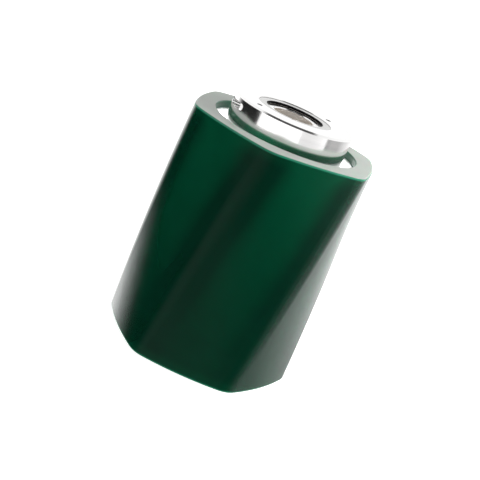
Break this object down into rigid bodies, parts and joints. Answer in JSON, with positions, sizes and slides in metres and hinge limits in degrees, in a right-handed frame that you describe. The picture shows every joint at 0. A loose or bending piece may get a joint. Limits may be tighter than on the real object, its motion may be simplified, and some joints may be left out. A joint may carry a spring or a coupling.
{
  "type": "drive roller",
  "caption": "Roller with a twisted, faceted green urethane cover on an aluminium core, a polished slotted drive hub and shielded ball bearings around a through bore.",
  "frame": {"origin": "centre of the cover's lower end face, on the roller's axis", "axes": "+Z along the axis from the lower end to the slotted drive hub; +X to the right of a person who faces +Y"},
  "size_m": [0.0968, 0.0966, 0.1285],
  "materials": {
    "green_urethane": "glossy, slightly translucent",
    "aluminium": "turned, bright",
    "polished_steel": "mirror polished",
    "turned_steel": "fine turned",
    "bearing_steel": "ground",
    "shield_steel": "pressed, bright",
    "spring_steel": "satin",
    "cage_nylon": "moulded",
    "black_rubber": "matt"
  },
  "bodies": {
    "roller": {"urethane_cover": "green_urethane", "core_tube": "aluminium", "drive_hub": "polished_steel", "lower_hub": "polished_steel", "preload_spring": "spring_steel", "upper_locking_pins": "turned_steel", "upper_o_ring": "black_rubber", "upper_retaining_ring": "spring_steel", "upper_bearing_outer_ring": "bearing_steel", "upper_bearing_top_shield": "shield_steel", "upper_bearing_bottom_shield": "shield_steel", "lower_locking_pins": "turned_steel", "lower_o_ring": "black_rubber", "lower_retaining_ring": "spring_steel", "lower_bearing_outer_ring": "bearing_steel", "lower_bearing_top_shield": "shield_steel", "lower_bearing_bottom_shield": "shield_steel"},
    "axle_sleeve": {"upper_bearing_inner_ring": "bearing_steel", "spacer_sleeve": "turned_steel", "lower_bearing_inner_ring": "bearing_steel"},
    "upper_ball_train": {"upper_bearing_balls": "bearing_steel", "upper_bearing_cage": "cage_nylon"},
    "lower_ball_train": {"lower_bearing_balls": "bearing_steel", "lower_bearing_cage": "cage_nylon"}
  },
  "joints": [
    {"name": "axle_spin", "type": "hinge", "parent": "roller", "child": "axle_sleeve", "pos_m": [0, 0, 0.06595], "axis": [0, 0, 1], "continuous": true},
    {"name": "upper_ball_train_turn", "type": "hinge", "parent": "roller", "child": "upper_ball_train", "pos_m": [0, 0, 0.1224], "axis": [0, 0, 1], "continuous": true},
    {"name": "lower_ball_train_turn", "type": "hinge", "parent": "roller", "child": "lower_ball_train", "pos_m": [0, 0, 0.0095], "axis": [0, 0, 1], "continuous": true}
  ],
  "couplings": [
    {"joint": "upper_ball_train_turn", "follows": "axle_spin", "ratio": 0.41649},
    {"joint": "lower_ball_train_turn", "follows": "axle_spin", "ratio": 0.41649}
  ]
}
